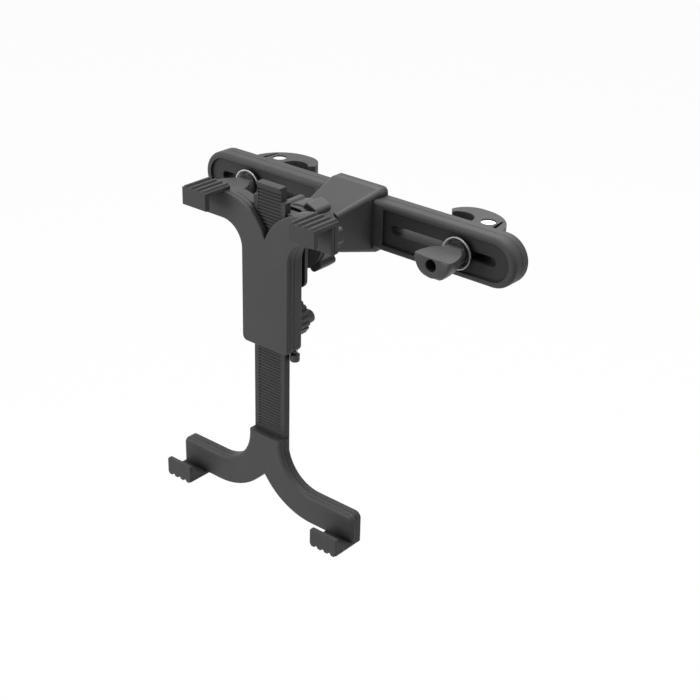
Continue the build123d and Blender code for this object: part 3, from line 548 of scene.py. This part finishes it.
@dataclass
class Studio:
    """Pale floor and backdrop, soft lamps and the camera.

    Attributes:
        floor_z: Height of the floor, in metres.
        floor_reach: Half the floor's width.
        floor_share: How much of the floor's look comes from plain white, the rest keeps the shadow.
        floor_grey: The floor's own linear grey.
        air: Strength of the even light from all round.
        lamps: The soft boxes.
        lens: Focal length for a 36 mm sensor, in millimetres.
        azimuth: Camera direction about Z, in degrees; 0 looks along +Y.
        elevation: Camera height above the horizon, in degrees.
        roll: Turn about the view axis, in degrees.
        eye: Camera position, in metres.
    """

    floor_z: float = -0.42
    floor_reach: float = 6.0
    floor_share: float = 0.97
    floor_grey: float = 0.86
    air: float = 0.1
    lamps: tuple[SoftBox, ...] = (
        SoftBox("lamp_top", (0.05, 0.05, 1.1), 0.9, 18.0),
        SoftBox("lamp_front", (-0.55, -1.15, 0.25), 0.8, 11.5),
        SoftBox("lamp_rim", (0.95, 0.55, 1.1), 0.3, 3.2),
        SoftBox("lamp_rear", (-0.3, 1.2, 0.6), 0.8, 4.0, (0.0, 0.0, 0.0)),
    )
    lens: float = 71.41
    azimuth: float = 39.194
    elevation: float = 26.758
    roll: float = 1.556
    eye: Vec3 = (0.49469, -0.61511, 0.30307)

    def build(self) -> None:
        """Make the stage, the lamps and the camera."""
        scene = bpy.context.scene
        scene.view_settings.view_transform = "Standard"
        self._world(scene)
        self._floor()
        for lamp in self.lamps:
            lamp.hang()
        scene.camera = self._camera()
        LOG.info("stage, lamps and camera are ready")

    def _world(self, scene: bpy.types.Scene) -> None:
        """Light the scene evenly, with a white background for the camera."""
        world = bpy.data.worlds.new("studio_air")
        scene.world = world
        world.use_nodes = True
        tree = world.node_tree
        tree.nodes.clear()
        output = tree.nodes.new("ShaderNodeOutputWorld")
        seen = tree.nodes.new("ShaderNodeBackground")
        air = tree.nodes.new("ShaderNodeBackground")
        mix = tree.nodes.new("ShaderNodeMixShader")
        seen.inputs["Color"].default_value = (1.0, 1.0, 1.0, 1.0)
        seen.inputs["Strength"].default_value = 1.0
        air.inputs["Color"].default_value = (1.0, 1.0, 1.0, 1.0)
        air.inputs["Strength"].default_value = self.air
        tree.links.new(shown_rays(tree), mix.inputs["Fac"])
        tree.links.new(air.outputs["Background"], mix.inputs[1])
        tree.links.new(seen.outputs["Background"], mix.inputs[2])
        tree.links.new(mix.outputs["Shader"], output.inputs["Surface"])

    def _floor(self) -> None:
        """Make a wide white floor that keeps a faint shadow."""
        mesh = bpy.data.meshes.new("studio_floor")
        reach = self.floor_reach
        corners = [(-reach, -reach), (reach, -reach), (reach, reach), (-reach, reach)]
        mesh.from_pydata([(x, y, self.floor_z) for x, y in corners], [], [(0, 1, 2, 3)])
        floor = bpy.data.objects.new("studio_floor", mesh)
        bpy.context.scene.collection.objects.link(floor)
        graph = NodeGraph("floor_paper")
        share = graph.add("ShaderNodeMath", operation="MULTIPLY")
        share.inputs[1].default_value = self.floor_share
        graph.join(shown_rays(graph.tree), share.inputs[0])
        paper = graph.add("ShaderNodeBsdfDiffuse", Color=(*(self.floor_grey,) * 3, 1.0))
        glow = graph.add("ShaderNodeEmission", Color=(1.0, 1.0, 1.0, 1.0), Strength=1.0)
        mix = graph.add("ShaderNodeMixShader")
        graph.join(share.outputs["Value"], mix.inputs["Fac"])
        graph.join(paper.outputs["BSDF"], mix.inputs[1])
        graph.join(glow.outputs["Emission"], mix.inputs[2])
        graph.join(mix.outputs["Shader"], graph.output.inputs["Surface"])
        mesh.materials.append(graph.material)

    def _camera(self) -> bpy.types.Object:
        """Stand the camera where the photograph was taken from.

        Returns:
            The camera.
        """
        data = bpy.data.cameras.new("camera")
        data.sensor_width = 36.0
        data.lens = self.lens
        data.clip_start = 0.01
        data.clip_end = 50.0
        a, e, r = (math.radians(v) for v in (self.azimuth, self.elevation, self.roll))
        back = Vector((math.sin(a) * math.cos(e), -math.cos(a) * math.cos(e), math.sin(e)))
        right = Vector((math.cos(a), math.sin(a), 0.0))
        up = back.cross(right)
        across = right * math.cos(r) + up * math.sin(r)
        upward = up * math.cos(r) - right * math.sin(r)
        rows = Matrix((across, upward, back)).transposed().to_4x4()
        camera = bpy.data.objects.new("camera", data)
        camera.matrix_world = Matrix.Translation(self.eye) @ rows
        bpy.context.scene.collection.objects.link(camera)
        return camera


# Fasteners


class Drive(Enum):
    """Shape of the recess in a screw's head, by its sides."""

    CROSS = 4
    HEX = 6


def lathe(
    name: str, profile: Sequence[tuple[float, float]], segments: int, x: float = 0.0
) -> bpy.types.Object:
    """Turn a profile about an axis along Y into a closed mesh.

    Args:
        name: The object's name.
        profile: Radius and Y of each point, in metres, from tip to tip, or all round for a bored piece.
        segments: Faces round the axis.
        x: Where the axis stands, in metres.

    Returns:
        An object that isn't linked to the scene.
    """
    shape = bmesh.new()
    rings = []
    for radius, y in profile:
        if radius < ON_AXIS:
            rings.append([shape.verts.new((x, y, 0.0))])
            continue
        turns = [2.0 * math.pi * i / segments for i in range(segments)]
        rings.append([shape.verts.new((x + radius * math.cos(t), y, radius * math.sin(t))) for t in turns])
    ends = [] if len(rings[0]) == 1 else [(rings[-1], rings[0])]
    for near, far in [*zip(rings, rings[1:]), *ends]:
        for i in range(segments):
            j = (i + 1) % segments
            corners = [near[i % len(near)], near[j % len(near)], far[j % len(far)], far[i % len(far)]]
            shape.faces.new(list(dict.fromkeys(corners)))
    bmesh.ops.recalc_face_normals(shape, faces=shape.faces)
    mesh = bpy.data.meshes.new(name)
    shape.to_mesh(mesh)
    shape.free()
    return bpy.data.objects.new(name, mesh)


class ScrewTree:
    """Geometry node tree that cuts a drive into a turned blank and sets a copy on each point."""

    def __init__(self) -> None:
        """Build the tree with its named inputs."""
        self.group = bpy.data.node_groups.new("screw_pattern", "GeometryNodeTree")
        self.sockets: dict[str, str] = {}
        for name, kind in (
            ("Spots", "NodeSocketGeometry"),
            ("Blank", "NodeSocketObject"),
            ("Hexagonal", "NodeSocketBool"),
            ("Recess Width", "NodeSocketFloat"),
            ("Recess Length", "NodeSocketFloat"),
            ("Recess Depth", "NodeSocketFloat"),
            ("Seed", "NodeSocketInt"),
            ("Finish", "NodeSocketMaterial"),
        ):
            item = self.group.interface.new_socket(name, in_out="INPUT", socket_type=kind)
            self.sockets[name] = item.identifier
        self.group.interface.new_socket("Screws", in_out="OUTPUT", socket_type="NodeSocketGeometry")
        self._wire()

    def _add(self, kind: str, **values: object) -> bpy.types.Node:
        """Add a node and set what is named."""
        node = self.group.nodes.new(kind)
        for key, value in values.items():
            setattr(node, key, value)
        return node

    def _join(self, source: bpy.types.NodeSocket, target: bpy.types.NodeSocket) -> None:
        """Link one socket to another."""
        self.group.links.new(source, target)

    def _bar(self, given: bpy.types.Node, across: str, along: str) -> bpy.types.NodeSocket:
        """Add one arm of the cross recess as a box.

        Args:
            given: The tree's input node.
            across: Name of the input that gives its size along X.
            along: Name of the input that gives its size along Z.

        Returns:
            The box.
        """
        size = self._add("ShaderNodeCombineXYZ")
        self._join(given.outputs[across], size.inputs["X"])
        self._join(given.outputs["Recess Depth"], size.inputs["Y"])
        self._join(given.outputs[along], size.inputs["Z"])
        box = self._add("GeometryNodeMeshCube")
        self._join(size.outputs["Vector"], box.inputs["Size"])
        return box.outputs["Mesh"]

    def _wire(self) -> None:
        """Add and link the tree's nodes."""
        given = self._add("NodeGroupInput")
        shown = self._add("NodeGroupOutput")
        blank = self._add("GeometryNodeObjectInfo", transform_space="ORIGINAL")
        self._join(given.outputs["Blank"], blank.inputs["Object"])
        cross = self._add("GeometryNodeMeshBoolean", operation="DIFFERENCE")
        self._join(blank.outputs["Geometry"], cross.inputs["Mesh 1"])
        self._join(self._bar(given, "Recess Width", "Recess Length"), cross.inputs["Mesh 2"])
        self._join(self._bar(given, "Recess Length", "Recess Width"), cross.inputs["Mesh 2"])
        half = self._add("ShaderNodeMath", operation="MULTIPLY")
        self._join(given.outputs["Recess Width"], half.inputs[0])
        half.inputs[1].default_value = 0.5 / math.cos(math.pi / Drive.HEX.value)
        prism = self._add("GeometryNodeMeshCylinder")
        prism.inputs["Vertices"].default_value = Drive.HEX.value
        self._join(half.outputs["Value"], prism.inputs["Radius"])
        self._join(given.outputs["Recess Depth"], prism.inputs["Depth"])
        laid = self._add("GeometryNodeTransform")
        laid.inputs["Rotation"].default_value = (math.pi / 2, 0.0, 0.0)
        self._join(prism.outputs["Mesh"], laid.inputs["Geometry"])
        hexed = self._add("GeometryNodeMeshBoolean", operation="DIFFERENCE")
        self._join(blank.outputs["Geometry"], hexed.inputs["Mesh 1"])
        self._join(laid.outputs["Geometry"], hexed.inputs["Mesh 2"])
        either = self._add("GeometryNodeSwitch", input_type="GEOMETRY")
        self._join(given.outputs["Hexagonal"], either.inputs["Switch"])
        self._join(cross.outputs["Mesh"], either.inputs["False"])
        self._join(hexed.outputs["Mesh"], either.inputs["True"])
        turn = self._add("FunctionNodeRandomValue", data_type="FLOAT")
        self._join(given.outputs["Seed"], turn.inputs["Seed"])
        turn.inputs[3].default_value = math.pi / 2
        about = self._add("ShaderNodeCombineXYZ")
        self._join(turn.outputs[1], about.inputs["Y"])
        copies = self._add("GeometryNodeInstanceOnPoints")
        self._join(given.outputs["Spots"], copies.inputs["Points"])
        self._join(either.outputs["Output"], copies.inputs["Instance"])
        self._join(about.outputs["Vector"], copies.inputs["Rotation"])
        solid = self._add("GeometryNodeRealizeInstances")
        self._join(copies.outputs["Instances"], solid.inputs["Geometry"])
        finish = self._add("GeometryNodeSetMaterial")
        self._join(solid.outputs["Geometry"], finish.inputs["Geometry"])
        self._join(given.outputs["Finish"], finish.inputs["Material"])
        self._join(finish.outputs["Geometry"], shown.inputs["Screws"])


@dataclass
class Screws:
    """Machine screws of one node, heads to the rear or to the front.

    Attributes:
        node: The node that they stand for.
        body: The body that they ride on.
        drive: Shape of the recess.
        head_radius: Radius of the head, in metres.
        head: Height of the head.
        shank_radius: Radius over the thread.
        pitch: Distance from one turn of the thread to the next.
        recess: Width, length and depth of the recess.
        faces_front: True if the head points to the front.
        faces_round: Faces round the axis.
    """

    node: str
    body: str
    drive: Drive = Drive.CROSS
    head_radius: float = 2.45 * MM
    head: float = 1.5 * MM
    shank_radius: float = 1.22 * MM
    pitch: float = 0.9 * MM
    recess: Vec3 = (0.62 * MM, 2.7 * MM, 1.7 * MM)
    faces_front: bool = False
    faces_round: int = 24

    def build(self, tree: ScrewTree, finish: bpy.types.Material, seed: int) -> bpy.types.Object:
        """Make the screws as one mesh in place of the node.

        Args:
            tree: The node tree that sets them out.
            finish: Their material.
            seed: Seed of the angles that the heads stop at.

        Returns:
            The finished piece.
        """
        low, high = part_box(self.node)
        length = high[1] - low[1]
        blank = lathe(f"{self.node}_blank", self._profile(length), self.faces_round)
        bpy.context.scene.collection.objects.link(blank)
        spots = bpy.data.meshes.new(f"{self.node}_spots")
        spots.from_pydata(self._spots(low[1], high[1]), [], [])
        host = bpy.data.objects.new(f"{self.node}_host", spots)
        bpy.context.scene.collection.objects.link(host)
        modifier = host.modifiers.new("screws", "NODES")
        modifier.node_group = tree.group
        width, along, depth = self.recess
        for name, value in (
            ("Blank", blank),
            ("Hexagonal", self.drive is Drive.HEX),
            ("Recess Width", width),
            ("Recess Length", along),
            ("Recess Depth", 2.0 * depth),
            ("Seed", seed),
            ("Finish", finish),
        ):
            modifier[tree.sockets[name]] = value
        piece = solidify(host, f"{self.node}_driven")
        for helper in (host, blank):
            bpy.data.objects.remove(helper)
        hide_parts(self.node)
        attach(piece, self.body)
        LOG.info("%s: %d faces", piece.name, len(piece.data.polygons))
        return piece

    def _profile(self, length: float) -> list[tuple[float, float]]:
        """Radius and Y of the blank, with its head's top at the origin.

        Args:
            length: From the head's top to the tip.

        Returns:
            The points, from the head's top to the tip.
        """
        away = 1.0 if self.faces_front else -1.0
        flat, brow, core = 0.55 * self.head_radius, 0.86 * self.head_radius, 0.8 * self.shank_radius
        points = [(0.0, 0.0), (flat, 0.0), (brow, 0.22 * self.head)]
        points += [(self.head_radius, 0.5 * self.head), (self.head_radius, self.head), (core, self.head)]
        turns = int((length - self.head - 2.0 * self.shank_radius) / self.pitch)
        for turn in range(turns):
            start = self.head + turn * self.pitch
            points += [(self.shank_radius, start + 0.45 * self.pitch), (core, start + 0.9 * self.pitch)]
        points += [(core, length - self.shank_radius), (0.0, length)]
        return [(radius, away * y) for radius, y in points]

    def _spots(self, low: float, high: float) -> list[Vec3]:
        """Centres of the heads' tops, read from the discs on the node's outer plane.

        Args:
            low: The node's lowest Y.
            high: The node's highest Y.

        Returns:
            One point for each screw.
        """
        plane = low if self.faces_front else high
        groups: list[list[Vector]] = []
        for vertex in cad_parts[self.node].data.vertices:
            point = vertex.co
            if abs(point.y - plane) > ON_PLANE:
                continue
            near = [g for g in groups if (g[0] - point).length < SAME_SCREW * self.head_radius]
            if near:
                near[0].append(point)
            else:
                groups.append([point])
        spots = []
        for group in groups:
            xs = [p.x for p in group]
            zs = [p.z for p in group]
            spots.append(((min(xs) + max(xs)) / 2, plane, (min(zs) + max(zs)) / 2))
        return spots


def solidify(host: bpy.types.Object, name: str) -> bpy.types.Object:
    """Turn what an object's modifiers make into a plain mesh object at the origin.

    Args:
        host: The object with its modifiers.
        name: Name of the new object.

    Returns:
        The new object, linked to the scene.
    """
    graph = bpy.context.evaluated_depsgraph_get()
    mesh = bpy.data.meshes.new_from_object(host.evaluated_get(graph), depsgraph=graph)
    mesh.name = name
    mesh.shade_smooth()
    mesh.set_sharp_from_angle(angle=SMOOTH_ANGLE)
    piece = bpy.data.objects.new(name, mesh)
    bpy.context.scene.collection.objects.link(piece)
    return piece


# Sub-assemblies


@dataclass
class BarAssembly:
    """Slotted bar, tapered arm and ball socket."""

    palette: Palette
    screws: ScrewTree

    def build(self) -> None:
        """Dress the bar, the arm and the socket."""
        self.palette.dress(self.palette.bar, "bar_front_shell")
        self.palette.dress(self.palette.shell, "bar_rear_shell", "housing_cover")
        self.palette.dress(self.palette.arm, "arm_housing")
        self.palette.dress(self.palette.knob, "socket_cup")
        self.palette.dress(self.palette.dark_steel, "socket_screw")
        Screws("bar_screws", "bar").build(self.screws, self.palette.dark_steel, seed=3)
        Screws("cover_screws", "bar").build(self.screws, self.palette.dark_steel, seed=5)
        LOG.info("bar and arm are dressed")


@dataclass
class BallJoint:
    """Locking ring, bearing liner and ball stud."""

    palette: Palette

    def build(self) -> None:
        """Dress the joint."""
        self.palette.dress(self.palette.knob, "locking_ring")
        self.palette.dress(self.palette.bearing, "ball_liner")
        self.palette.dress(self.palette.dark_steel, "ball_stud", "stud_washer", "stud_screw")
        LOG.info("ball joint is dressed")


@dataclass
class ThumbKnob:
    """Turned hub with a broad D-shaped wing, flat on top, and a bore for the bolt.

    Attributes:
        side: The side of the bar.
        palette: The finishes.
        top: Height of the flat top above the axis, in metres.
        wing_half: Half the wing's width.
        wing_back: Y of the wing's rounded back.
        wing_front: Y of its straight front.
        wing_corner: Radius of the front corners.
        wing_steps: Faces along the rounded back.
        corner_steps: Faces along each front corner.
        hull: Height, share of the width, back and front of each layer below the top, in millimetres.
        rim: Width of the bevel round the top.
        hub: Radius and depth of the hub's outline and bore, all round, in millimetres.
        bore_ends: Depths between which the bore's cutter runs, in millimetres.
        flat_back: Y from which the hub is cut flat.
        flat_reach: Half the size of the block that cuts it.
        faces_round: Faces round the hub.
    """

    side: Side
    palette: Palette
    top: float = 4.5 * MM
    wing_half: float = 12.7 * MM
    wing_back: float = -18.0 * MM
    wing_front: float = -39.3 * MM
    wing_corner: float = 2.2 * MM
    wing_steps: int = 32
    corner_steps: int = 8
    hull: tuple[tuple[float, float, float, float], ...] = (
        (3.2, 1.0, -18.0, -39.8), (1.6, 0.975, -17.6, -39.9), (0.0, 0.935, -17.2, -39.9),
        (-1.6, 0.88, -17.0, -39.9), (-3.2, 0.81, -16.9, -39.8), (-4.7, 0.73, -16.9, -39.5),
        (-6.0, 0.64, -17.0, -39.1), (-7.1, 0.55, -17.2, -38.5), (-8.0, 0.46, -17.6, -37.7),
        (-8.8, 0.36, -18.2, -36.6), (-9.4, 0.25, -19.2, -34.8), (-9.7, 0.12, -21.5, -32.0),
    )
    rim: float = 0.5 * MM
    hub: tuple[tuple[float, float], ...] = (
        (2.52, 14.1), (6.8, 14.1), (7.1, 17.0), (7.2, 20.0), (8.4, 23.0), (8.8, 28.0), (8.6, 34.0),
        (8.0, 38.2), (7.5, 39.6), (6.9, 40.0), (4.2, 40.0), (3.65, 39.4), (3.65, 27.0), (2.52, 27.0),
    )
    bore_ends: tuple[float, float] = (13.0, 41.0)
    flat_back: float = -15.6 * MM
    flat_reach: float = 30.0 * MM
    faces_round: int = 64

    def build(self) -> bpy.types.Object:
        """Make the knob in place of its node.

        Returns:
            The finished piece.
        """
        node = f"thumb_knob_{self.side.word}"
        x = self.side.value * CLAMP_X * MM
        profile = [(radius * MM, -depth * MM) for radius, depth in self.hub]
        hub = lathe(f"{node}_hub", profile, self.faces_round, x)
        wing = self._wing(f"{node}_wing", x)
        bore = lathe(f"{node}_bore", self._bore(), self.faces_round, x)
        above = self._block(f"{node}_above", x)
        for helper in (hub, wing, bore, above):
            bpy.context.scene.collection.objects.link(helper)
        for other, operation in ((above, "DIFFERENCE"), (wing, "UNION"), (bore, "DIFFERENCE")):
            cut = hub.modifiers.new(operation.lower(), "BOOLEAN")
            cut.operation = operation
            cut.solver = "EXACT"
            cut.object = other
        bevel = hub.modifiers.new("rim", "BEVEL")
        bevel.width = self.rim
        bevel.segments = 2
        bevel.limit_method = "ANGLE"
        bevel.angle_limit = RIM_ANGLE
        piece = solidify(hub, f"{node}_winged")
        for helper in (hub, wing, bore, above):
            bpy.data.objects.remove(helper)
        piece.data.materials.clear()
        piece.data.materials.append(self.palette.knob)
        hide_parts(node)
        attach(piece, f"{self.side.word}_knob")
        LOG.info("%s: %d faces", piece.name, len(piece.data.polygons))
        return piece

    def _bore(self) -> list[tuple[float, float]]:
        """Radius and Y, in metres, of the cutter that opens the bolt's bore and its counterbore."""
        shank = self.hub[0][0]
        wide, seat = self.hub[-2]
        back, front = self.bore_ends
        steps = [(0.0, back), (shank, back), (shank, seat), (wide, seat), (wide, front), (0.0, front)]
        return [(radius * MM, -depth * MM) for radius, depth in steps]

    def _outline(self) -> list[tuple[float, float]]:
        """The wing's outline seen from above, about the axis.

        Returns:
            X and Y of its points, in metres, all round.
        """
        middle = self.wing_front + self.wing_corner
        reach = self.wing_back - middle
        points = []
        for step in range(self.wing_steps + 1):
            turn = math.pi * step / self.wing_steps
            points.append((self.wing_half * math.cos(turn), middle + reach * math.sin(turn)))
        inner = self.wing_half - self.wing_corner
        last = self.corner_steps
        for sign, steps in ((-1, range(1, last + 1)), (1, range(last - 1, 0, -1))):
            for step in steps:
                turn = math.pi / 2 * step / last
                across = inner + self.wing_corner * math.cos(turn)
                points.append((sign * across, middle - self.wing_corner * math.sin(turn)))
        return points

    def _wing(self, name: str, x: float) -> bpy.types.Object:
        """Make the wing as layers below its flat top, each joined to the next.

        Args:
            name: The object's name.
            x: Where the axis stands, in metres.

        Returns:
            The wing, not linked to the scene.
        """
        shape = bmesh.new()
        length = self.wing_back - self.wing_front
        layers = [[shape.verts.new((x + px, py, self.top)) for px, py in self._outline()]]
        for height, share, back, front in self.hull:
            stretch = (back - front) * MM / length
            layers.append([
                shape.verts.new((x + px * share, front * MM + (py - self.wing_front) * stretch, height * MM))
                for px, py in self._outline()
            ])
        shape.faces.new(layers[0])
        shape.faces.new(layers[-1])
        for upper, lower in zip(layers, layers[1:]):
            for i, corner in enumerate(upper):
                j = (i + 1) % len(upper)
                shape.faces.new((corner, upper[j], lower[j], lower[i]))
        bmesh.ops.recalc_face_normals(shape, faces=shape.faces)
        mesh = bpy.data.meshes.new(name)
        shape.to_mesh(mesh)
        shape.free()
        return bpy.data.objects.new(name, mesh)

    def _block(self, name: str, x: float) -> bpy.types.Object:
        """Make the block that cuts the hub's top flat.

        Args:
            name: The object's name.
            x: Where the axis stands, in metres.

        Returns:
            The block, not linked to the scene.
        """
        shape = bmesh.new()
        reach = self.flat_reach
        middle = Matrix.Translation((x, self.flat_back - reach, self.top + reach))
        bmesh.ops.create_cube(shape, size=2.0 * reach, matrix=middle)
        mesh = bpy.data.meshes.new(name)
        shape.to_mesh(mesh)
        shape.free()
        return bpy.data.objects.new(name, mesh)


@dataclass
class PostClamp:
    """One clamp: bush, cup washer, thumb knob, bolt, cross pin and claw."""

    palette: Palette
    side: Side
    screws: ScrewTree
    bolt_head_radius: float = 3.55 * MM
    bolt_head: float = 3.0 * MM
    bolt_radius: float = 2.45 * MM

    def build(self) -> None:
        """Dress the clamp."""
        word = self.side.word
        self.palette.dress(self.palette.shell, f"post_claw_{word}", f"guide_bush_{word}")
        ThumbKnob(self.side, self.palette).build()
        self.palette.dress(self.palette.polished[self.side], f"flange_washer_{word}")
        self.palette.dress(self.palette.pin, f"barrel_nut_{word}")
        bolt = Screws(
            f"clamp_bolt_{word}",
            f"{word}_knob",
            drive=Drive.HEX,
            head_radius=self.bolt_head_radius,
            head=self.bolt_head,
            shank_radius=self.bolt_radius,
            recess=(4.0 * MM, 4.0 * MM, 2.2 * MM),
            faces_front=True,
        )
        bolt.build(self.screws, self.palette.dark_steel, seed=1)
        LOG.info("%s clamp is dressed", word)


@dataclass
class Holder:
    """Tablet holder with its jaws, lock and release button."""

    palette: Palette
    screws: ScrewTree

    def build(self) -> None:
        """Dress the holder."""
        self.palette.dress(self.palette.shell, "upper_bracket", "back_housing", "ball_plate")
        self.palette.dress(self.palette.rubber, "jaw_cap_right", "jaw_cap_left", "brake_pad")
        self.palette.dress(self.palette.knob, "lock_knob", "release_button")
        self.palette.dress(self.palette.dark_steel, "lock_screw", "button_spring", "pawl")
        self.palette.dress(self.palette.brass, "lock_insert")
        Screws("plate_screws", "holder").build(self.screws, self.palette.dark_steel, seed=7)
        Screws("holder_screws", "holder").build(self.screws, self.palette.dark_steel, seed=9)
        LOG.info("holder is dressed")


@dataclass
class LowerCradle:
    """Sliding rail with the two lower legs and their hooks."""

    palette: Palette
    screws: ScrewTree

    def build(self) -> None:
        """Dress the rail, the legs and the hooks."""
        self.palette.dress(self.palette.rail, "slide_rail")
        self.palette.dress(self.palette.shell, "lower_cradle")
        self.palette.dress(self.palette.rubber, "cradle_hook_right", "cradle_hook_left")
        Screws("cradle_screws", "lower_cradle").build(self.screws, self.palette.dark_steel, seed=11)
        LOG.info("lower cradle is dressed")


def main() -> None:
    """Build the stage and every sub-assembly."""
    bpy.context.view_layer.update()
    Studio().build()
    palette = Palette()
    screws = ScrewTree()
    BarAssembly(palette, screws).build()
    BallJoint(palette).build()
    for side in Side:
        PostClamp(palette, side, screws).build()
    Holder(palette, screws).build()
    LowerCradle(palette, screws).build()
    LOG.info("the scene is complete")


if __name__ == "__main__":
    logging.basicConfig(level=logging.INFO, format="%(message)s")
    main()
